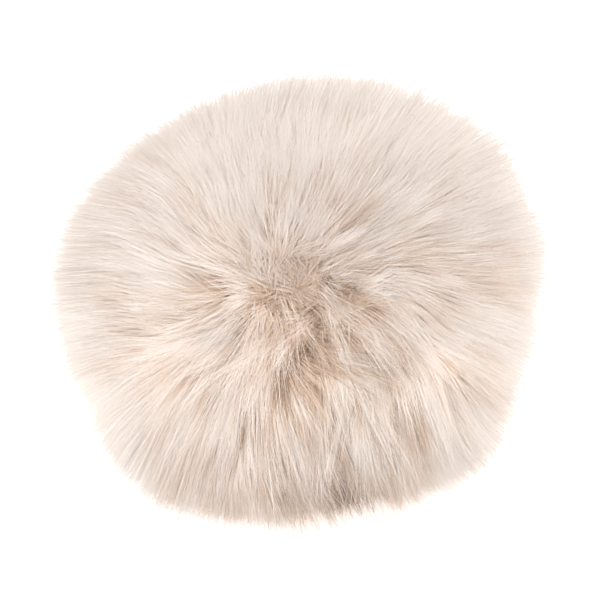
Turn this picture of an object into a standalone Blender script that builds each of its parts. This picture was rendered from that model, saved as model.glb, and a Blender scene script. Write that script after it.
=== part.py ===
"""Round faux-fur pom pom at rest on its flat spot: a dense inner pile with pointed locks.

Metres, +Z up. The origin is the middle of the flat spot on the surface it rests on,
and the face of the ball with the parting looks along -Y.
"""
import math
import random

import bmesh
import bpy
from mathutils import Euler, Matrix, Vector

UP = Vector((0.0, 0.0, 1.0))

# The dense inner pile, a round ball that carries the roots
CORE_RADIUS = 0.040
CORE_MIDDLE = 0.043

# The tips of the locks: half the width, and how far they reach above and below their middle
PILE_RADIUS = 0.0600
PILE_MIDDLE = 0.050
PILE_RISE = 0.0500
PILE_DROP = 0.0720

# Where hair meets the surface it rests on it is pressed level over this height
FLOOR_SOFTNESS = 0.0012
FLOOR_DIP = -0.0015

# The flat spot: its radius, and how far round the ball from straight down it takes up
FOOT_RADIUS = 0.0200
FOOT_SPREAD = math.radians(22.0)

# How far the tips swing, as a share of the ball's radius
DROOP = 0.08
PARTING = 0.35
SPLAY = 0.30
PARTING_AZIMUTH = math.radians(-3.0)
PARTING_HEIGHT = math.radians(21.0)

# Fuller and thinner places: azimuth and height in degrees, spread in radians, rise in metres
SWELLS = (
    {"name": "full right shoulder", "azimuth": 65, "height": 46, "spread": 0.60, "rise": 0.0075},
    {"name": "low left shoulder", "azimuth": -70, "height": 55, "spread": 0.50, "rise": -0.0025},
    {"name": "full left side", "azimuth": -85, "height": 5, "spread": 0.55, "rise": 0.0025},
    {"name": "full right flank", "azimuth": 62, "height": -28, "spread": 0.35, "rise": 0.0030},
    {"name": "short right front", "azimuth": 25, "height": -46, "spread": 0.32, "rise": -0.0045},
)

# Locks: a grid of cells on each of six sides, turned, twisted and unevenly spaced, with
# the cells closer at the parting, where the tips spread
LOCKS_ACROSS = 7
GRID_TURN = Euler((0.46, 0.31, 0.20))
GRID_TWIST = 0.55
CELL_WANDER = 0.30
PARTING_CROWD = 0.30
ROOT_MARGIN = 0.00050
LENGTH_SPREAD = 0.06
TIP_SWAY = 0.55
LOCK_RINGS = (
    {"reach": 0.28, "width": 0.92},
    {"reach": 0.57, "width": 0.82},
    {"reach": 0.81, "width": 0.52},
)
TIP_REACH = 1.0
SEED = 7

FUR_COLOR = (0.830, 0.696, 0.591, 1.0)
FUR_ROUGHNESS = 0.85


def from_angles(azimuth, height):
    """Direction at an azimuth, 0 to the front and + to the right, and a height over level."""
    level = math.cos(height)
    return Vector((math.sin(azimuth) * level, -math.cos(azimuth) * level, math.sin(height)))


PARTING_WAY = from_angles(PARTING_AZIMUTH, PARTING_HEIGHT)
SWELL_WAYS = tuple(
    (from_angles(math.radians(row["azimuth"]), math.radians(row["height"])), row["spread"], row["rise"])
    for row in SWELLS
)


def away_from(pole, way):
    """Sideways pull on a hair that points along way, off the pole that it parts from."""
    facing = max(0.0, way.dot(pole))
    return (way * way.dot(pole) - pole) * facing * facing


def swung(way, reach):
    """Direction of a hair rooted along way, at a reach from 0 at its root to 1 at its tip."""
    bend = reach * reach
    fall = (way * way.z - UP) * DROOP
    parted = away_from(PARTING_WAY, way) * PARTING
    splayed = away_from(-UP, way) * SPLAY
    return (way + (fall + parted + splayed) * bend).normalized()


def free_point(way, reach):
    """Where a hair rooted along way is at a reach, before the surface presses it level."""
    turned = swung(way, reach)
    across = CORE_RADIUS + (PILE_RADIUS - CORE_RADIUS) * reach
    tip_height = PILE_RISE if turned.z > 0.0 else PILE_DROP
    upright = CORE_RADIUS + (tip_height - CORE_RADIUS) * reach
    middle = CORE_MIDDLE + (PILE_MIDDLE - CORE_MIDDLE) * reach
    point = Vector((turned.x * across, turned.y * across, middle + turned.z * upright))
    for pole, spread, rise in SWELL_WAYS:
        off = way.angle(pole) / spread
        point += turned * rise * reach * math.exp(-off * off)
    return point


def pile_point(way, reach):
    """Where a hair rooted along way is at a reach, resting on the surface at its lowest."""
    point = free_point(way, reach)
    point.z = FLOOR_SOFTNESS * math.log1p(math.exp(point.z / FLOOR_SOFTNESS))
    return point


def longest_reach(way):
    """Reach of the tip along way: shorter under the ball, where the surface is in the way."""
    reach = TIP_REACH
    while free_point(way, reach).z < FLOOR_DIP:
        reach -= 0.02
    return reach


def twisted(way, axis):
    """Direction turned about an axis, further one way at one end of it than at the other."""
    return Matrix.Rotation(GRID_TWIST * way.dot(axis), 3, axis) @ way


def uneven_grid(draw):
    """Unit ball of four-sided cells, from a cube with a grid on each side, as uneven as fur."""
    mesh = bmesh.new()
    bmesh.ops.create_cube(mesh, size=2.0)
    bmesh.ops.subdivide_edges(mesh, edges=mesh.edges[:], cuts=LOCKS_ACROSS - 1, use_grid_fill=True)
    wander = CELL_WANDER * math.pi / 2.0 / LOCKS_ACROSS
    for corner in mesh.verts:
        way = Vector([math.tan(step * math.pi / 4.0) for step in corner.co]).normalized()
        way += Vector([draw.uniform(-wander, wander) for _ in range(3)])
        way = GRID_TURN.to_matrix() @ way.normalized()
        for axis in (Vector((1.0, 0.0, 0.0)), Vector((0.0, 1.0, 0.0)), UP):
            way = twisted(way, axis)
        corner.co = (way - away_from(PARTING_WAY, way) * PARTING_CROWD).normalized()
    return mesh


def grow_ring(mesh, face, cell, middle, reach, width):
    """Extrude a lock's end face to a reach, at a share of its cell's width."""
    end = bmesh.ops.extrude_discrete_faces(mesh, faces=[face])["faces"][0]
    for corner, cell_corner in zip(end.verts, cell):
        way = (middle + (cell_corner - middle) * width).normalized()
        corner.co = pile_point(way, reach)
    return end


def grow_lock(mesh, face, cell, draw):
    """Grow one four-sided lock from its root face to its point."""
    middle = sum(cell, Vector()).normalized()
    length = longest_reach(middle) * (1.0 + draw.uniform(-LENGTH_SPREAD, LENGTH_SPREAD))
    sway = sum(((corner - middle) * draw.uniform(0.0, TIP_SWAY) for corner in cell), Vector())
    end = face
    for ring in LOCK_RINGS:
        shifted = (middle + sway * (1.0 - ring["width"])).normalized()
        end = grow_ring(mesh, end, cell, shifted, length * ring["reach"], ring["width"])
    tip = bmesh.ops.poke(mesh, faces=[end])["verts"][0]
    tip.co = pile_point((middle + sway).normalized(), length)


def fur_material():
    """Cream acrylic fur."""
    material = bpy.data.materials.new("faux_fur")
    material.use_nodes = True
    shader = material.node_tree.nodes["Principled BSDF"]
    shader.inputs["Base Color"].default_value = FUR_COLOR
    shader.inputs["Roughness"].default_value = FUR_ROUGHNESS
    shader.inputs["Metallic"].default_value = 0.0
    return material


def build_pile_ball(collection):
    """The pile: a dense core with a flat spot, and locks all over the rest of it."""
    draw = random.Random(SEED)
    mesh = uneven_grid(draw)
    ways = {corner: corner.co.copy() for corner in mesh.verts}
    middles = {face: sum((ways[corner] for corner in face.verts), Vector()) for face in mesh.faces}
    rooted = [face for face in mesh.faces if middles[face].angle(-UP) > FOOT_SPREAD]
    cells = {face: [ways[corner] for corner in face.verts] for face in rooted}
    foot_corners = {corner for face in set(mesh.faces) - set(rooted) for corner in face.verts}
    for corner, way in ways.items():
        if corner in foot_corners:
            corner.co = Vector((way.x, way.y, 0.0)) * (FOOT_RADIUS / math.sin(FOOT_SPREAD))
        else:
            corner.co = pile_point(way, 0.0)
    bmesh.ops.inset_individual(mesh, faces=rooted, thickness=ROOT_MARGIN, use_even_offset=True)
    for face, cell in cells.items():
        grow_lock(mesh, face, cell, draw)
    bmesh.ops.triangulate(mesh, faces=mesh.faces[:])
    bmesh.ops.recalc_face_normals(mesh, faces=mesh.faces[:])
    data = bpy.data.meshes.new("pile_ball")
    mesh.to_mesh(data)
    mesh.free()
    data.materials.append(fur_material())
    ball = bpy.data.objects.new("pile_ball", data)
    collection.objects.link(ball)
    return ball


for leftover in list(bpy.data.objects):
    bpy.data.objects.remove(leftover, do_unlink=True)
pom_pom = bpy.data.collections.new("pom_pom")
bpy.context.scene.collection.children.link(pom_pom)
build_pile_ball(pom_pom)
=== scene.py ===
# %% [markdown]
# # A pom pom of long-pile faux fur
#
# The real thing is a round of knitted fur fabric, drawn up by a thread into a ball. All that
# shows is its pile: fine acrylic hairs about 25 mm long, which stand out of a dense woolly
# layer, cling together in wisps and sag a little at their tips.
#
# Fur can be made with hair strands that exist only while a picture renders, or as mesh. A
# part in a library is exported, so here every hair is mesh: a thin three-sided cone. This
# lesson makes the dense layer as one closed mesh, and grows the hair with Geometry Nodes.

# %% Load the frame
import math

import bmesh
import bpy
import numpy as np
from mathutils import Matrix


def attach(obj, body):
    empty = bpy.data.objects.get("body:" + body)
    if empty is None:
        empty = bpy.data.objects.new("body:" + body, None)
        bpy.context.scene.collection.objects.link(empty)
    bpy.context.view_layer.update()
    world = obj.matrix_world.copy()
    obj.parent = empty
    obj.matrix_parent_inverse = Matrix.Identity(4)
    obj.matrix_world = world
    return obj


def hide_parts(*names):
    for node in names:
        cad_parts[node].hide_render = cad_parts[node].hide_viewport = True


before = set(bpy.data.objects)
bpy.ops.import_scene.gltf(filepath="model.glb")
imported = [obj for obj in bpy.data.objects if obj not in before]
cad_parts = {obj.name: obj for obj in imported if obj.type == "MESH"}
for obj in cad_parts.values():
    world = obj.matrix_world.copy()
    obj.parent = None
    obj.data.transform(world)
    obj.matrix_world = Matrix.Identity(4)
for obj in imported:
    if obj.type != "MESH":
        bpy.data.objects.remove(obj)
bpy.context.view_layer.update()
BALL_NODE = "pile_ball"
BODY = "root"
scene = bpy.context.scene

# %% [markdown]
# ## Directions
#
# A ball of hair is easiest to describe from its middle. A place on it is a direction, given
# by an azimuth (0 to the front, + to the right) and a height (0 level, 90 straight up). The
# functions take thousands of directions at a time, one row each.

# %% Directions from the middle of the ball
UP = np.array([0.0, 0.0, 1.0])


def from_angles(azimuth, height):
    """Direction at an azimuth and a height, both in degrees."""
    turn, lift = math.radians(azimuth), math.radians(height)
    return np.array([math.sin(turn) * math.cos(lift), -math.cos(turn) * math.cos(lift),
                     math.sin(lift)])


def unit(ways):
    """The same directions, each at a length of 1."""
    return ways / np.linalg.norm(ways, axis=-1, keepdims=True)


def angles_from(pole, ways):
    """Angle in radians between one direction and each of many."""
    return np.arccos(np.clip(ways @ pole, -1.0, 1.0))


def spot(angle, width):
    """1 at the middle of a soft round spot, falling to 0 outside its width."""
    return np.exp(-(angle / width) ** 2)


# %% [markdown]
# ## The form of the ball
#
# Hair grows out of a dense core, and its tips end on a rounded outer form, which is flatter
# above its middle than below. These sizes are those of the solid, so hair that follows them
# fills the same space. No such ball is quite round: each swell lifts or lowers the tips
# around one direction, in metres, and spreads in radians. The last two are finer than the
# solid has them: the hair pinched in under the front, and the fuller hair left of it.

# %% Sizes of the ball
CORE_RADIUS = 0.040
CORE_MIDDLE = 0.043
PILE_RADIUS = 0.0600
PILE_MIDDLE = 0.050
PILE_RISE = 0.0500
PILE_DROP = 0.0720
SWELLS = (
    {"name": "full right shoulder", "at": (65, 46), "spread": 0.60, "rise": 0.0075},
    {"name": "low left shoulder", "at": (-70, 55), "spread": 0.50, "rise": -0.0025},
    {"name": "full left side", "at": (-85, 5), "spread": 0.55, "rise": 0.0025},
    {"name": "full right flank", "at": (62, -28), "spread": 0.35, "rise": 0.0030},
    {"name": "short right front", "at": (25, -46), "spread": 0.32, "rise": -0.0045},
    {"name": "gap under the front", "at": (14, -58), "spread": 0.22, "rise": -0.0100},
    {"name": "full lower left", "at": (-24, -38), "spread": 0.30, "rise": 0.0030},
)
print("ball is", round(2000 * PILE_RADIUS), "mm across, with", len(SWELLS), "swells")

# %% [markdown]
# ## How the hair lies
#
# Every hair starts straight out of the core. By its tip three things have moved it. It has
# been swept off the whorl, the one point on the front from which all the hair turns away,
# as on a brushed head. It has sagged under its own weight. And under the ball it has been
# splayed by the table. A hair is followed by its reach, 0 at the core and 1 at the outer
# form, and each pull grows with the square of it, as the bend of a springy fibre does.

# %% Where a hair is swept to
WHORL = from_angles(-4.5, 27.5)
SWEEP = 0.42
SWEEP_START = 0.35
SWEEP_FADE = 1.5
DROOP = 0.08
SPLAY = 0.30


def sweep_at(angle):
    """Push off the whorl: nothing at its middle, most a little way out, less behind."""
    off = np.sin(angle)
    return SWEEP * off / (off + SWEEP_START) * (0.5 + 0.5 * np.cos(angle)) ** SWEEP_FADE


def swept(ways):
    """Push off the whorl, as a direction for each hair."""
    angle = angles_from(WHORL, ways)
    off = np.maximum(np.sin(angle), 1e-6)
    outwards = (ways * np.cos(angle)[:, None] - WHORL) / off[:, None]
    return outwards * sweep_at(angle)[:, None]


def splayed(ways):
    """Push away from straight down, for the hair that the table meets."""
    facing = ways @ -UP
    return (ways * facing[:, None] + UP) * np.clip(facing, 0.0, None)[:, None] ** 2 * SPLAY


def swung(ways, reach):
    """Direction of a hair at this reach."""
    fall = (ways * ways[:, 2:] - UP) * DROOP
    return unit(ways + (fall + swept(ways) + splayed(ways)) * (reach * reach)[:, None])


# %% [markdown]
# ## Points in the pile
#
# A direction and a reach give a point. A soft floor keeps every point above the table, and
# rounds off the place where hair meets it. Straight below, the table leaves no room for a
# whole hair, so the longest reach there is found by trying.

# %% From a direction and a reach to a point
FLOOR_SOFTNESS = 0.0012
FLOOR_DIP = -0.0015
LEAST_REACH = 0.3
REACH_STEP = 0.02


def free_points(ways, reach):
    """Points of the pile where nothing is under the ball."""
    turned = swung(ways, reach)
    across = CORE_RADIUS + (PILE_RADIUS - CORE_RADIUS) * reach
    tip_height = np.where(turned[:, 2] > 0.0, PILE_RISE, PILE_DROP)
    upright = CORE_RADIUS + (tip_height - CORE_RADIUS) * reach
    middle = CORE_MIDDLE + (PILE_MIDDLE - CORE_MIDDLE) * reach
    points = turned * np.stack([across, across, upright], axis=1)
    points[:, 2] += middle
    for row in SWELLS:
        near = spot(angles_from(from_angles(*row["at"]), ways), row["spread"])
        points += turned * (row["rise"] * reach * near)[:, None]
    return points


def pile_points(ways, reach):
    """Points of the pile on its table."""
    points = free_points(ways, reach)
    points[:, 2] = FLOOR_SOFTNESS * np.log1p(np.exp(points[:, 2] / FLOOR_SOFTNESS))
    return points


def longest_reach(ways):
    """Reach of the tips: shorter under the ball, where the table is in the way."""
    best = np.full(len(ways), LEAST_REACH)
    for reach in np.arange(LEAST_REACH, 1.001, REACH_STEP):
        above = free_points(ways, np.full(len(ways), reach))[:, 2] > FLOOR_DIP
        best = np.where(above, reach, best)
    return best


# %% [markdown]
# ## Even, but not regular
#
# Roots in a fur fabric are evenly spaced. Points on a spiral cover a ball evenly without any
# rows, and a small seeded wander takes away the last of the order. A slow drift, the sum of
# a few waves in random directions, is what is left of every hand that has touched the fur.

# %% Spread points over the ball
GOLDEN_ANGLE = math.pi * (3.0 - math.sqrt(5.0))
DRIFT_WAVES = 6


def even_ways(count, wander, draw):
    """Evenly spread directions, each moved by about this share of the gap between them."""
    rank = np.arange(count) + 0.5
    height = 1.0 - 2.0 * rank / count
    level = np.sqrt(1.0 - height * height)
    turn = rank * GOLDEN_ANGLE
    ways = np.stack([np.cos(turn) * level, np.sin(turn) * level, height], axis=1)
    step = math.sqrt(4.0 * math.pi / count)
    return unit(ways + draw.normal(0.0, wander * step, ways.shape))


def drift(ways, waves, seed):
    """Smooth wandering field over the ball; more waves make it finer."""
    draw = np.random.default_rng(seed)
    field = np.zeros_like(ways)
    for _ in range(DRIFT_WAVES):
        pitch = draw.normal(0.0, waves, 3)
        push = draw.normal(0.0, 1.0, 3) / DRIFT_WAVES ** 0.5
        field += np.sin(ways @ pitch + draw.uniform(0.0, 2.0 * math.pi))[:, None] * push
    return field


# %% [markdown]
# ## The ruffled front
#
# The front has been handled: there the hair clings in clear locks and shows its tan depth.
# The sides and the back are smoother. One soft spot on the ball says how ruffled each place
# is, and everything that ruffling changes is scaled by it.

# %% How ruffled each place is
RUFFLE_MIDDLE = from_angles(5.0, 0.0)
RUFFLE_WIDTH = 0.70
MOST_RUFFLE = 1.3
LEAST_RUFFLE = 0.2


def in_ruffle(ways):
    """1 in the middle of the ruffled front, falling to 0 on the sides and the back."""
    return spot(angles_from(RUFFLE_MIDDLE, ways), RUFFLE_WIDTH)


# %% [markdown]
# ## Partings
#
# Long pile parts where locks lean away from each other. The hair in a parting is short and
# shows the tan near its roots, and its colour is darkened further as painted shade. The main
# one is a groove straight down from the whorl. Short branches leave it like the veins of a
# leaf, and low on the right a hollow opens under the locks, whose floor lies in the ball's
# own shade, painted into its hair as brown.
#
# Each row runs between two places, in degrees. Push turns hair to both sides, thin is the
# share of length that is missing, deep is how far the colour goes to tan and painted shade,
# or past 1 to the brown of painted deep shade, and width is in radians.

# %% Partings in the pile
PARTINGS = (
    # name, from, to, push, thin, deep, width
    ("groove, upper half", (-3.5, 12.5), (1.0, -0.5), 0.06, 0.62, 1.18, 0.044),
    ("groove, lower half", (1.0, -0.5), (6.0, -9.0), 0.05, 0.52, 1.18, 0.044),
    ("upper left arm", (-13.5, 39.5), (-7.0, 37.0), 0.04, 0.50, 0.8, 0.040),
    ("upper right arm", (-3.0, 33.0), (5.5, 40.5), 0.04, 0.50, 0.8, 0.042),
    ("left branch", (-4.5, 25.0), (-9.0, 19.5), 0.04, 0.42, 1.0, 0.038),
    ("right branch", (5.0, 24.5), (21.0, 20.0), 0.04, 0.45, 0.7, 0.038),
    ("lower right branch", (5.5, 16.0), (12.0, 12.5), 0.04, 0.45, 0.8, 0.038),
    ("lower right end", (12.0, 12.5), (23.0, 8.0), 0.04, 0.45, 0.8, 0.036),
    ("lower left branch", (-10.5, 16.0), (-14.0, 10.5), 0.04, 0.45, 1.0, 0.036),
    ("short gap, lower right", (12.0, -2.5), (15.5, -7.0), 0.04, 0.45, 1.0, 0.034),
    ("break at the bottom", (-1.0, -12.0), (1.5, -17.0), 0.04, 0.45, 0.8, 0.040),
    ("break at the lower left", (-10.0, -19.0), (-3.0, -20.0), 0.02, 0.40, 1.0, 0.040),
    # From here down, deep is painted shadow where the ball meets the table: brown in the hollow
    # and at the foot, lighter in the gaps.
    ("hollow at the table", (6.0, -31.0), (16.0, -32.0), 0.0, 0.50, 2.0, 0.078),
    ("foot in its own shade", (6.0, -38.0), (20.0, -38.0), 0.0, 0.22, 2.7, 0.105),
    ("gap over the table", (20.0, -36.0), (36.0, -36.0), 0.0, 0.18, 0.4, 0.110),
    ("gap under the front", (7.0, -53.0), (38.0, -53.0), 0.0, 0.34, 0.8, 0.180),
)
DEEP_WIDENING = 1.5


def parted(tips):
    """Push off the partings, how short their hair is, and its tan and painted shade."""
    apart = np.zeros_like(tips)
    short = np.zeros(len(tips))
    dark = np.zeros(len(tips))
    for _, start, end, push, thin, deep, width in PARTINGS:
        start, end = from_angles(*start), from_angles(*end)
        run = end - start
        share = np.clip((tips - start) @ run / (run @ run), 0.0, 1.0)
        away = tips - start - share[:, None] * run
        near = spot(np.linalg.norm(away, axis=1), width)
        apart += away / width * (push * near)[:, None]
        short = np.maximum(short, thin * near)
        # dark is painted shade, with the real tan of the roots seen in a parting.
        dark = np.maximum(dark, deep * np.minimum(near * DEEP_WIDENING, 1.0))
    return apart, short, dark


print("partings:", ", ".join(row[0] for row in PARTINGS))

# %% [markdown]
# ## Roots under evenly spread tips
#
# The sweep takes hair away from the whorl, so roots spread evenly would leave a bald spot
# there. The tips are spread evenly instead, and each root is placed where its hair has to
# start. Because the sweep only depends on the angle from the whorl, a table of tip angles
# for root angles, read backwards, gives it. The roots are walked back a little further than
# the sweep brings the tips out, which keeps the whorl full.

# %% Where a hair is rooted
ANGLE_STEPS = 721
ROOT_ANGLES = np.linspace(0.0, math.pi, ANGLE_STEPS)
WALK_BACK = 1.12


def rooted(tips):
    """Root directions of hairs whose tips are to end up in these directions."""
    tip_angles = ROOT_ANGLES + WALK_BACK * np.arctan(sweep_at(ROOT_ANGLES))
    angle = angles_from(WHORL, tips)
    root_angle = np.interp(angle, tip_angles, ROOT_ANGLES)
    outwards = unit(tips - WHORL * np.cos(angle)[:, None])
    return WHORL * np.cos(root_angle)[:, None] + outwards * np.sin(root_angle)[:, None]


# %% [markdown]
# ## Wisps, locks and tufts
#
# Hairs of a long pile cling together on three scales. Eight or nine of them make a wisp,
# which follows one guide line. Wisps gather in locks 3.4 mm apart, and locks in tufts 9 mm
# apart. For each clump a few random numbers are drawn once: how it leans, how much longer
# its hair is, and how light it is. Every wisp takes those of the clump that it is nearest to.
#
# The guide line is straight, from a point on the root side to one at the tip. One bend in it
# would take every hair from 4 triangles to 10, and the lean of the locks shows more.

# %% How wisps gather
CLUMPS = (
    {"name": "tuft", "step": 0.0090, "pull": 0.18, "lean": 0.034, "length": 0.080, "seed": 5},
    {"name": "lock", "step": 0.0034, "pull": 0.45, "lean": 0.020, "length": 0.050, "seed": 6},
)
CLUMP_WANDER = 0.35
CLUMP_TONE = 0.5
FLOW = 0.07
FLOW_WAVES = (3.0, 9.0)
FLOW_SEEDS = (11, 12)
FINE_FLOW = 0.5


def gathered(tips, ruffle):
    """Pull of the clumps on each wisp, and what they add to its length and its tone."""
    pull = np.zeros_like(tips)
    longer = np.zeros(len(tips))
    tone = np.zeros(len(tips))
    for row in CLUMPS:
        draw = np.random.default_rng(row["seed"])
        count = int(4.0 * math.pi * PILE_RADIUS ** 2 / row["step"] ** 2)
        middles = even_ways(count, CLUMP_WANDER, draw)
        nearest = np.argmax(tips @ middles.T, axis=1)
        pull += (middles[nearest] - tips) * row["pull"] * ruffle[:, None]
        pull += draw.normal(0.0, row["lean"], middles.shape)[nearest] * ruffle[:, None]
        longer += draw.normal(0.0, row["length"], count)[nearest]
        tone += draw.uniform(-CLUMP_TONE, CLUMP_TONE, count)[nearest]
    return pull, longer, tone


def flowing(ways):
    """Slow drift of the lie of the hair, with a finer one of half its strength."""
    coarse, fine = [drift(ways, *row) for row in zip(FLOW_WAVES, FLOW_SEEDS)]
    return (coarse + FINE_FLOW * fine) * FLOW


# %% [markdown]
# ## Guide lines
#
# The hair at the whorl is tangled and tan. Tone says how light a wisp is: it goes down to
# tan in the whorl and in partings, which is painted shade for the depth there as well as the
# tan of the roots that shows. Two shades say where on its way from tan root to cream tip a
# hair's colour starts and ends. A hair cut short shows none of the palest cream, deep places
# take the tips down toward tan as painted shade, and hair on the smooth sides starts
# lighter, since nothing there opens the pile to its depth.
#
# No hair grows straight under the ball, where the table would press it flat.

# %% One guide line for each wisp
LONGEST = 1.22
FOOT_SPREAD = math.radians(22.0)
WISP_WANDER = 0.30
WISP_LEAN = 0.012
WISP_TONE = 0.2
MIDDLE_TONE = 0.6
WHORL_TANGLE = 0.028
WHORL_WIDTH = 0.14
WHORL_DEEP = 0.64
# Painted shade in the whorl and partings: tone goes toward tan and brown, tips to root colour.
DEEP_TAN_AND_SHADE = 0.76
DEEP_SHADE_ON_TIPS = 0.25
ROOT_LIFT = 0.28


def guide_lines(count, start, length, length_spread, root_shade, seed):
    """Root and tip of each wisp, and its tone and shades by the name of the attribute."""
    draw = np.random.default_rng(seed)
    tips = even_ways(count, WISP_WANDER, draw)
    tips = tips[angles_from(-UP, tips) > FOOT_SPREAD]
    ways = rooted(tips)
    whorl = spot(angles_from(WHORL, tips), WHORL_WIDTH)
    ruffled = in_ruffle(tips)
    ruffle = LEAST_RUFFLE + (MOST_RUFFLE - LEAST_RUFFLE) * ruffled
    longer = draw.normal(0.0, length_spread, len(tips))
    tone = draw.uniform(-WISP_TONE, WISP_TONE, len(tips))
    pull, clump_longer, clump_tone = gathered(tips, ruffle)
    tangle = WISP_LEAN + WHORL_TANGLE * whorl
    apart, short, dark = parted(tips)
    pull += flowing(ways) + draw.normal(0.0, 1.0, ways.shape) * tangle[:, None] + apart
    tone = MIDDLE_TONE + (tone + clump_tone) * ruffle
    # The whorl and the partings darken the tone here: painted shade, with the tan of their
    # roots.
    tone *= 1.0 - DEEP_TAN_AND_SHADE * np.maximum(WHORL_DEEP * whorl, dark)
    share = length * (1.0 + (longer + clump_longer) * ruffle) * (1.0 - short)
    # Deep places take the tip colour down toward tan as painted shade.
    tip_shade = np.clip(share / LONGEST, 0.0, 1.0) * (1.0 - DEEP_SHADE_ON_TIPS * dark)
    root_shade = root_shade + ROOT_LIFT * (1.0 - ruffled) * (1.0 - np.minimum(dark, 1.0))
    ends = []
    for reach in (np.full(len(ways), start), longest_reach(ways) * share):
        bent = unit(ways + pull * (reach * reach)[:, None])
        ends.append(pile_points(bent, reach))
    return np.stack(ends, axis=1), {"wisp_tone": tone, "wisp_root": root_shade,
                                    "wisp_tip": tip_shade}


# %% [markdown]
# ## A small helper for nodes
#
# Node trees are long when every node takes three lines. This one function adds a node of
# any kind, applies its settings, and gives each input a value or a link.

# %% Add a node
def add(tree, kind, inputs=None, **settings):
    """Add one node, with its settings, and its inputs set to values or linked."""
    node = tree.nodes.new(kind)
    for name, value in settings.items():
        setattr(node, name, value)
    for key, value in (inputs or {}).items():
        if isinstance(value, bpy.types.NodeSocket):
            tree.links.new(value, node.inputs[key])
        else:
            node.inputs[key].default_value = value
    return node


# %% [markdown]
# ## Hair with Geometry Nodes
#
# One tree grows all the hair. Its inputs are the sizes of a hair, so each layer sets its
# own. Thousands of hairs that follow a rule are what Geometry Nodes are good at: the guide
# lines come in as bare edges, and closed tapered cones go out.

# %% The tree and its inputs
TREE_INPUTS = (
    ("Hairs in a wisp", "NodeSocketInt"),
    ("Spread at the root", "NodeSocketFloat"),
    ("Spread at the tip", "NodeSocketFloat"),
    ("Hair thickness", "NodeSocketFloat"),
    ("Shortest hair", "NodeSocketFloat"),
    ("Seed", "NodeSocketInt"),
    ("Fibre", "NodeSocketMaterial"),
)
hair = bpy.data.node_groups.new("hair_from_guides", "GeometryNodeTree")
hair.interface.new_socket("Geometry", in_out="INPUT", socket_type="NodeSocketGeometry")
for name, kind in TREE_INPUTS:
    hair.interface.new_socket(name, in_out="INPUT", socket_type=kind)
hair.interface.new_socket("Geometry", in_out="OUTPUT", socket_type="NodeSocketGeometry")
given = add(hair, "NodeGroupInput").outputs
print("tree inputs:", ", ".join(name for name, _ in TREE_INPUTS))

# %% [markdown]
# ### From a guide line to a wisp
#
# Each line becomes a curve and is copied once for each hair of the wisp. The number of the
# curve that a point belongs to then tells the hairs apart in every random value.

# %% Copy the guide lines
lines = add(hair, "GeometryNodeMeshToCurve", {"Mesh": given["Geometry"]})
copies = add(hair, "GeometryNodeDuplicateElements",
             {"Geometry": lines.outputs[0], "Amount": given["Hairs in a wisp"]},
             domain="SPLINE")
index = add(hair, "GeometryNodeInputIndex").outputs[0]
number = add(hair, "GeometryNodeFieldOnDomain", {0: index},
             data_type="INT", domain="CURVE").outputs[0]
along = add(hair, "GeometryNodeSplineParameter").outputs["Factor"]

# %% [markdown]
# ### Spread the hairs of a wisp
#
# Every hair moves off to a side of its own, by one amount at its root and another at its
# tip. A few strays stand well out of their wisp. A high power of an even random number
# picks them: it stays near 0 for most hairs and nears 1 for a few.

# %% Move every copy to its side
STRAY_SEED = 71
STRAY_POWER = 6.0
STRAY_REACH = 2.5
side = add(hair, "FunctionNodeRandomValue",
           {0: (-1.0, -1.0, -1.0), 1: (1.0, 1.0, 1.0), "ID": number, "Seed": given["Seed"]},
           data_type="FLOAT_VECTOR").outputs[0]
stray = add(hair, "FunctionNodeRandomValue", {"ID": number, "Seed": STRAY_SEED}).outputs[1]
stray = add(hair, "ShaderNodeMath", {0: stray, 1: STRAY_POWER}, operation="POWER").outputs[0]
stray = add(hair, "ShaderNodeMath", {0: stray, 1: STRAY_REACH, 2: 1.0},
            operation="MULTIPLY_ADD").outputs[0]
at_tip = add(hair, "ShaderNodeMath", {0: given["Spread at the tip"], 1: stray},
             operation="MULTIPLY").outputs[0]
spread = add(hair, "ShaderNodeMapRange",
             {"Value": along, "To Min": given["Spread at the root"], "To Max": at_tip},
             interpolation_type="SMOOTHSTEP").outputs[0]
offset = add(hair, "ShaderNodeVectorMath", {0: side, "Scale": spread}, operation="SCALE")
moved = add(hair, "GeometryNodeSetPosition",
            {"Geometry": copies.outputs[0], "Offset": offset.outputs[0]})

# %% [markdown]
# ### Keep hair off the table, and cut it to uneven lengths
#
# A hair moved below the table is lifted back to it. Cut pile is never level: each hair
# keeps a random share of its length, and few are as short as the shortest.

# %% Lift and trim
LENGTH_SEED = 72
LENGTH_POWER = 1.8
point = add(hair, "GeometryNodeInputPosition").outputs[0]
place = add(hair, "ShaderNodeSeparateXYZ", {0: point})
height = add(hair, "ShaderNodeMath", {0: place.outputs[2], 1: given["Hair thickness"]},
             operation="MAXIMUM")
above = add(hair, "ShaderNodeCombineXYZ",
            {0: place.outputs[0], 1: place.outputs[1], 2: height.outputs[0]})
rested = add(hair, "GeometryNodeSetPosition",
             {"Geometry": moved.outputs[0], "Position": above.outputs[0]})
luck = add(hair, "FunctionNodeRandomValue", {"ID": number, "Seed": LENGTH_SEED}).outputs[1]
luck = add(hair, "ShaderNodeMath", {0: luck, 1: LENGTH_POWER}, operation="POWER").outputs[0]
end = add(hair, "ShaderNodeMapRange", {"Value": luck, "To Min": given["Shortest hair"]})
cut = add(hair, "GeometryNodeTrimCurve", {"Curve": rested.outputs[0], "End": end.outputs[0]})

# %% [markdown]
# ### Remember each hair's tone
#
# Colour is decided before the curve turns to mesh, while it is still one hair. Three parts
# of the tone come from the wisp and one is the hair's own. Both it and the place along the
# hair are stored, to be read again on the mesh.

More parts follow.
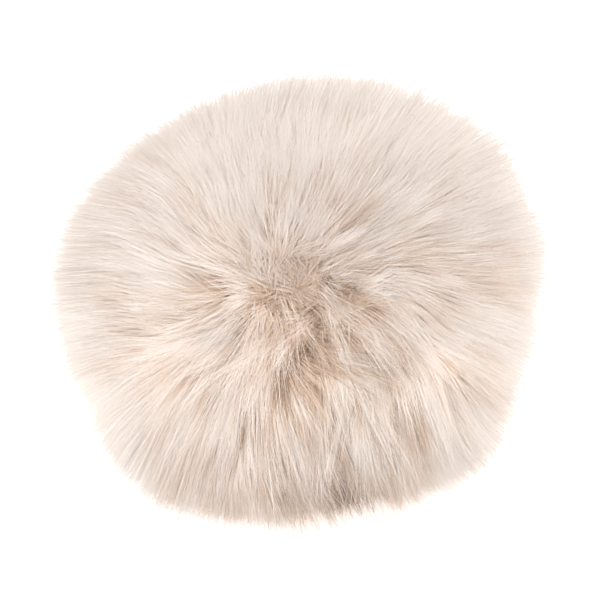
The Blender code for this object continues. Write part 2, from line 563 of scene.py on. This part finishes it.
# %% Store tone and place along the hair
TONE_SEED = 73
OWN_TONE = 0.25
own = add(hair, "FunctionNodeRandomValue", {"ID": number, "Seed": TONE_SEED}).outputs[1]
known = add(hair, "GeometryNodeInputNamedAttribute", {"Name": "wisp_tone"}, data_type="FLOAT")
mixed = add(hair, "ShaderNodeMix", {0: OWN_TONE, 2: known.outputs[0], 3: own}, data_type="FLOAT")
toned = add(hair, "GeometryNodeStoreNamedAttribute",
            {"Geometry": cut.outputs[0], "Name": "tone", "Value": mixed.outputs[0]},
            data_type="FLOAT", domain="CURVE")
placed = add(hair, "GeometryNodeStoreNamedAttribute",
             {"Geometry": toned.outputs[0], "Name": "along", "Value": along},
             data_type="FLOAT", domain="POINT")

# %% [markdown]
# ### A tapered body
#
# A fibre is round, but at this size three sides look the same and cost least. The profile
# keeps its full width for half of the hair and then narrows to a point. With two points to
# a hair that makes a thin cone, and merging the tip's doubles closes it.

# %% Run a three-sided profile along each hair
SIDES = 3
TAPER_START = 0.50
TIP_MERGE = 0.000001
ring = add(hair, "GeometryNodeCurvePrimitiveCircle",
           {"Resolution": SIDES, "Radius": 0.5}, mode="RADIUS")
ring = add(hair, "GeometryNodeStoreNamedAttribute",
           {"Geometry": ring.outputs[0], "Name": "around", "Value": along},
           data_type="FLOAT", domain="POINT")
taper = add(hair, "ShaderNodeMapRange", {"Value": along, 1: TAPER_START, 2: 1.0, 3: 1.0, 4: 0.0})
size = add(hair, "ShaderNodeMath", {0: taper.outputs[0], 1: given["Hair thickness"]},
           operation="MULTIPLY")
tubes = add(hair, "GeometryNodeCurveToMesh",
            {"Curve": placed.outputs[0], "Profile Curve": ring.outputs[0],
             "Scale": size.outputs[0], "Fill Caps": True})
joined = add(hair, "GeometryNodeMergeByDistance",
             {"Geometry": tubes.outputs[0], "Distance": TIP_MERGE})

# %% [markdown]
# ### Colour places as a UV map
#
# The fibre's colour depends on two numbers: its tone, and the shade from root to tip. They
# go into the two directions of a UV map, so one material serves every hair. Each hair is
# given a little width in the map, because a face with no area there can't be baked, and a
# margin keeps it inside the square.

# %% Write the UV map and finish the tree
UV_WIDTH = 0.005
UV_LOW, UV_HIGH = 0.02, 0.98
tone, around, on_hair, root, tip = [
    add(hair, "GeometryNodeInputNamedAttribute", {"Name": name}, data_type="FLOAT").outputs[0]
    for name in ("tone", "around", "along", "wisp_root", "wisp_tip")]
across = add(hair, "ShaderNodeMath", {0: around, 1: UV_WIDTH, 2: tone}, operation="MULTIPLY_ADD")
across = add(hair, "ShaderNodeMapRange", {"Value": across.outputs[0], 3: UV_LOW, 4: UV_HIGH})
shade = add(hair, "ShaderNodeMapRange", {"Value": on_hair, "To Min": root, "To Max": tip})
shade = add(hair, "ShaderNodeMapRange", {"Value": shade.outputs[0], 3: UV_LOW, 4: UV_HIGH})
flat = add(hair, "ShaderNodeCombineXYZ", {0: across.outputs[0], 1: shade.outputs[0]})
mapped = add(hair, "GeometryNodeStoreNamedAttribute",
             {"Geometry": joined.outputs[0], "Name": "OFBake", "Value": flat.outputs[0]},
             data_type="FLOAT2", domain="CORNER")
smooth = add(hair, "GeometryNodeSetShadeSmooth", {"Geometry": mapped.outputs[0]})
real = add(hair, "GeometryNodeRealizeInstances", {"Geometry": smooth.outputs[0]})
done = add(hair, "GeometryNodeSetMaterial",
           {"Geometry": real.outputs[0], "Material": given["Fibre"]})
add(hair, "NodeGroupOutput", {0: done.outputs[0]})
print("hair tree nodes:", len(hair.nodes))

# %% [markdown]
# ## Acrylic fibre
#
# The pile is acrylic, spun from solution into endless threads, dyed and cut. The thread is
# smooth but not glassy: a soft sheen at roughness 0.6 and a weak highlight, with an IOR of
# 1.5. The eye sees warm cream at the tips, tan at the roots, and hairs that differ a little
# from each other, as two or three dyed batches are blended for such a fur.
#
# Along the UV map's height runs the colour from root to tip. Across it runs the tone, which
# is multiplied in: white leaves a hair as it is, tan warms it, both as the random tone of the
# blended batches and as painted shade, and brown is painted shade, for hair that lies in the
# ball's own shade.

# %% Fibre material
def linear(hex_colour):
    """An sRGB hex colour as the linear values that shaders take."""
    parts = [int(hex_colour[i:i + 2], 16) / 255.0 for i in (1, 3, 5)]
    return tuple(p / 12.92 if p <= 0.04045 else ((p + 0.055) / 1.055) ** 2.4
                 for p in parts) + (1.0,)


fibre = bpy.data.materials.new("acrylic_fibre")
fibre.use_nodes = True
nodes = fibre.node_tree
shader = nodes.nodes["Principled BSDF"]
shader.inputs["Roughness"].default_value = 0.6
shader.inputs["IOR"].default_value = 1.5
shader.inputs["Specular IOR Level"].default_value = 0.15
uv = add(nodes, "ShaderNodeUVMap", uv_map="OFBake").outputs[0]
split = add(nodes, "ShaderNodeSeparateXYZ", {0: uv}).outputs
body = add(nodes, "ShaderNodeValToRGB", {0: split[1]})
stops = body.color_ramp.elements
stops[0].color = linear("#D2B59C")
stops[1].color = linear("#F8F1EC")
stops.new(0.33).color = linear("#E8D3BF")
stops.new(0.66).color = linear("#F3E6DC")
tint = add(nodes, "ShaderNodeValToRGB", {0: split[0]})
stops = tint.color_ramp.elements
# The brown stop is painted shade, and the tan stop serves both the random tone and painted
# shade.
stops[0].position, stops[0].color = 0.03, linear("#8E7B6D")
stops[1].position, stops[1].color = 0.60, linear("#FFFFFF")
stops.new(0.11).color = linear("#DCC4AC")
colour = add(nodes, "ShaderNodeMix", {0: 1.0, 6: body.outputs[0], 7: tint.outputs[0]},
             data_type="RGBA", blend_type="MULTIPLY")
nodes.links.new(colour.outputs[2], shader.inputs["Base Color"])
print(fibre.name, "nodes:", len(nodes.nodes))

# %% [markdown]
# ## Acrylic wool
#
# The dense layer is the same fibre in its crimped state, matted into a felt that has no
# sheen at all. Its curls are about 2 mm wide, which sets the scale of a noise that mottles
# the colour and raises the surface a little.

# %% Wool material
CURL_WIDTH = 0.0022
CURL_HEIGHT = 0.0004
wool = bpy.data.materials.new("acrylic_wool")
wool.use_nodes = True
nodes = wool.node_tree
shader = nodes.nodes["Principled BSDF"]
shader.inputs["Roughness"].default_value = 0.9
shader.inputs["Specular IOR Level"].default_value = 0.15
object_place = add(nodes, "ShaderNodeTexCoord").outputs["Object"]
curls = add(nodes, "ShaderNodeTexNoise",
            {"Vector": object_place, "Scale": 1.0 / CURL_WIDTH, "Detail": 3.0})
body = add(nodes, "ShaderNodeValToRGB", {0: curls.outputs[0]})
stops = body.color_ramp.elements
stops[0].position, stops[0].color = 0.35, linear("#D6C0AC")
stops[1].position, stops[1].color = 0.65, linear("#EADACC")
bump = add(nodes, "ShaderNodeBump",
           {"Height": curls.outputs[0], "Strength": 0.6, "Distance": CURL_HEIGHT})
nodes.links.new(body.outputs[0], shader.inputs["Base Color"])
nodes.links.new(bump.outputs[0], shader.inputs["Normal"])
print(wool.name, "nodes:", len(nodes.nodes))

# %% [markdown]
# ## The dense layer under the hair
#
# Between the hairs the eye meets the felted inner pile, never a hole. It is a closed ball of
# triangles whose points follow the same form at a lower reach, with lumps where the felt
# has matted. On the ruffled front it lies deeper, so that the partings open further down.

# %% Under pile
WOOL_REACH = 0.60
WOOL_DIP = 0.10
LUMP = 0.03
LUMP_WAVES = (22.0, 50.0)
LUMP_SEEDS = (21, 22)
BALL_CUTS = 6


def under_pile():
    """The dense layer, as one closed mesh that rests on the table."""
    mesh = bmesh.new()
    bmesh.ops.create_icosphere(mesh, subdivisions=BALL_CUTS, radius=1.0)
    ways = unit(np.array([corner.co[:] for corner in mesh.verts]))
    coarse, fine = [drift(ways, *row) for row in zip(LUMP_WAVES, LUMP_SEEDS)]
    lumps = coarse + fine
    reach = WOOL_REACH - WOOL_DIP * in_ruffle(ways) + LUMP * lumps[:, 0]
    reach = np.minimum(reach, longest_reach(ways))
    for corner, point in zip(mesh.verts, pile_points(ways, reach)):
        corner.co = point
    data = bpy.data.meshes.new("under_pile")
    mesh.to_mesh(data)
    mesh.free()
    data.shade_smooth()
    data.materials.append(wool)
    piece = bpy.data.objects.new("under_pile", data)
    scene.collection.objects.link(piece)
    return piece


PIECES = [under_pile()]
print("under pile faces:", len(PIECES[0].data.polygons))

# %% [markdown]
# ## Grow the hair
#
# A modifier runs the tree on an object that holds only the guide lines. Its inputs are set
# by the identifier of each socket. The evaluated result is copied to a plain mesh, and the
# guides with their modifier are thrown away.

# %% Grow one piece
def grow(name, lines, looks, **sizes):
    """Run the hair tree on guide lines, and keep the result as a plain mesh."""
    count = len(lines)
    data = bpy.data.meshes.new(name + "_guides")
    data.from_pydata(lines.reshape(-1, 3), np.arange(2 * count).reshape(count, 2), [])
    for label, values in looks.items():
        stored = data.attributes.new(label, "FLOAT", "POINT").data
        stored.foreach_set("value", np.repeat(values, 2))
    guides = bpy.data.objects.new(name + "_guides", data)
    scene.collection.objects.link(guides)
    modifier = guides.modifiers.new("hair", "NODES")
    modifier.node_group = hair
    sockets = {item.name: item.identifier for item in hair.interface.items_tree
               if item.in_out == "INPUT"}
    for label, value in sizes.items():
        modifier[sockets[label.replace("_", " ")]] = value
    shown = guides.evaluated_get(bpy.context.evaluated_depsgraph_get())
    mesh = bpy.data.meshes.new_from_object(shown)
    mesh.name = name
    bpy.data.objects.remove(guides, do_unlink=True)
    piece = bpy.data.objects.new(name, mesh)
    scene.collection.objects.link(piece)
    mesh.calc_loop_triangles()
    print(name, "wisps", count, "triangles", len(mesh.loop_triangles))
    return piece


# %% [markdown]
# ## Two layers of hair
#
# The long guard hair makes the form and the cream surface. A shorter, thicker and darker
# layer stands between it and the wool, so that a parting shows depth. Real fibre is 0.03 to
# 0.08 mm thick, too fine to draw and too many to hold, so these hairs are 0.17 and 0.22 mm
# at the root and taper from there. Each layer is split into pieces side by side around the
# ball, to keep every mesh small.

# %% Guard hair and under hair
def grow_layer(name, pieces, guides, **sizes):
    """Grow one layer as several pieces, side by side around the ball."""
    lines, looks = guides
    turn = np.arctan2(lines[:, -1, 0], -lines[:, -1, 1])
    for number, members in enumerate(np.array_split(np.argsort(turn), pieces), start=1):
        piece_looks = {label: values[members] for label, values in looks.items()}
        PIECES.append(grow(f"{name}_{number}", lines[members], piece_looks,
                           Seed=number, Fibre=fibre, **sizes))


guard_guides = guide_lines(count=20000, start=0.52, length=LONGEST, length_spread=0.03,
                           root_shade=0.32, seed=3)
grow_layer("guard_hair", 4, guard_guides, Hairs_in_a_wisp=9, Spread_at_the_root=0.0014,
           Spread_at_the_tip=0.0011, Hair_thickness=0.00017, Shortest_hair=0.55)
under_guides = guide_lines(count=7000, start=0.38, length=0.95, length_spread=0.05,
                           root_shade=0.12, seed=4)
grow_layer("under_hair", 2, under_guides, Hairs_in_a_wisp=8, Spread_at_the_root=0.0016,
           Spread_at_the_tip=0.0014, Hair_thickness=0.00022, Shortest_hair=0.55)

# %% [markdown]
# ## Camera
#
# A camera looks down on the ball by 25 degrees from 0.6 m away. Its focal length is worked
# out so that 4 pixels cover a millimetre at that distance, and it is aimed so that the middle
# of the ball falls on the place in the picture that is given in pixels of a 600 pixel frame.

# %% Camera
CAMERA_DOWN = math.radians(25.0)
CAMERA_DISTANCE = 0.60
IMAGE_SIDE = 600
BALL_PIXEL = (298.0, 281.0)
PIXEL = 0.001 / 4.0
SENSOR_WIDTH = 36.0
forward = np.array([0.0, math.cos(CAMERA_DOWN), -math.sin(CAMERA_DOWN)])
upward = np.array([0.0, math.sin(CAMERA_DOWN), math.cos(CAMERA_DOWN)])
rightward = np.array([1.0, 0.0, 0.0])
aim = np.array([0.0, 0.0, PILE_MIDDLE])
aim = aim + rightward * (IMAGE_SIDE / 2 - BALL_PIXEL[0]) * PIXEL
aim = aim - upward * (IMAGE_SIDE / 2 - BALL_PIXEL[1]) * PIXEL
lens = bpy.data.cameras.new("camera")
lens.sensor_width = SENSOR_WIDTH
lens.lens = SENSOR_WIDTH * CAMERA_DISTANCE / (IMAGE_SIDE * PIXEL)
camera = bpy.data.objects.new("camera", lens)
camera.location = aim - forward * CAMERA_DISTANCE
camera.rotation_euler = (math.pi / 2.0 - CAMERA_DOWN, 0.0, 0.0)
scene.collection.objects.link(camera)
scene.camera = camera
print("focal length:", round(lens.lens), "mm")

# %% [markdown]
# ## A sheet of white paper
#
# The ball sits on paper so brightly lit that no edge of it shows. Lit from all round and a
# little by itself, the paper throws light up into the lowest hair, as a lit table does.

# %% Floor
PAPER_SIZE = 3.0
PAPER_GLOW = 0.74
paper_mesh = bmesh.new()
bmesh.ops.create_grid(paper_mesh, x_segments=1, y_segments=1, size=PAPER_SIZE)
paper_data = bpy.data.meshes.new("floor")
paper_mesh.to_mesh(paper_data)
paper_mesh.free()
floor = bpy.data.objects.new("floor", paper_data)
scene.collection.objects.link(floor)
paper = bpy.data.materials.new("white_paper")
paper.use_nodes = True
shader = paper.node_tree.nodes["Principled BSDF"]
shader.inputs["Base Color"].default_value = linear("#F4F4F4")
shader.inputs["Roughness"].default_value = 0.9
shader.inputs["Emission Color"].default_value = (1.0, 1.0, 1.0, 1.0)
shader.inputs["Emission Strength"].default_value = PAPER_GLOW
paper_data.materials.append(paper)
print("floor:", floor.name)

# %% [markdown]
# ## Soft light
#
# Pale fur shows its form best in light from all round: a bright even sky carries most of it,
# and five weak softboxes, each turned to the ball, shape the locks. Power is in watts.

# %% Sky and softboxes
SKY = 1.50
SOFTBOXES = (
    {"name": "key", "place": (-0.02, -1.02, 0.66), "side": 0.5, "power": 2.0},
    {"name": "top", "place": (0.0, 0.45, 1.10), "side": 0.9, "power": 3.0},
    {"name": "left", "place": (-1.05, 0.35, 0.45), "side": 0.8, "power": 1.4},
    {"name": "right", "place": (1.05, 0.35, 0.45), "side": 0.8, "power": 2.6},
    {"name": "low front", "place": (-0.30, -1.00, 0.10), "side": 0.5, "power": 4.0},
)
world = bpy.data.worlds.new("studio")
world.use_nodes = True
sky = world.node_tree.nodes["Background"]
sky.inputs["Color"].default_value = (1.0, 1.0, 1.0, 1.0)
sky.inputs["Strength"].default_value = SKY
scene.world = world
scene.view_settings.view_transform = "Standard"
for row in SOFTBOXES:
    data = bpy.data.lights.new(row["name"], "AREA")
    data.size = row["side"]
    data.energy = row["power"]
    light = bpy.data.objects.new(row["name"], data)
    light.location = row["place"]
    way = np.array([0.0, 0.0, PILE_MIDDLE]) - np.array(row["place"])
    light.rotation_euler = (math.acos(-way[2] / np.linalg.norm(way)), 0.0,
                            math.atan2(way[1], way[0]) - math.pi / 2.0)
    scene.collection.objects.link(light)
print("softboxes:", len(SOFTBOXES))

# %% [markdown]
# ## Ride on the body, and hide the solid
#
# Every piece rides on the part's one body, and the solid that the pieces take the place of is
# hidden.

# %% Ride and hide
for piece in PIECES:
    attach(piece, BODY)
    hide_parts(BALL_NODE)
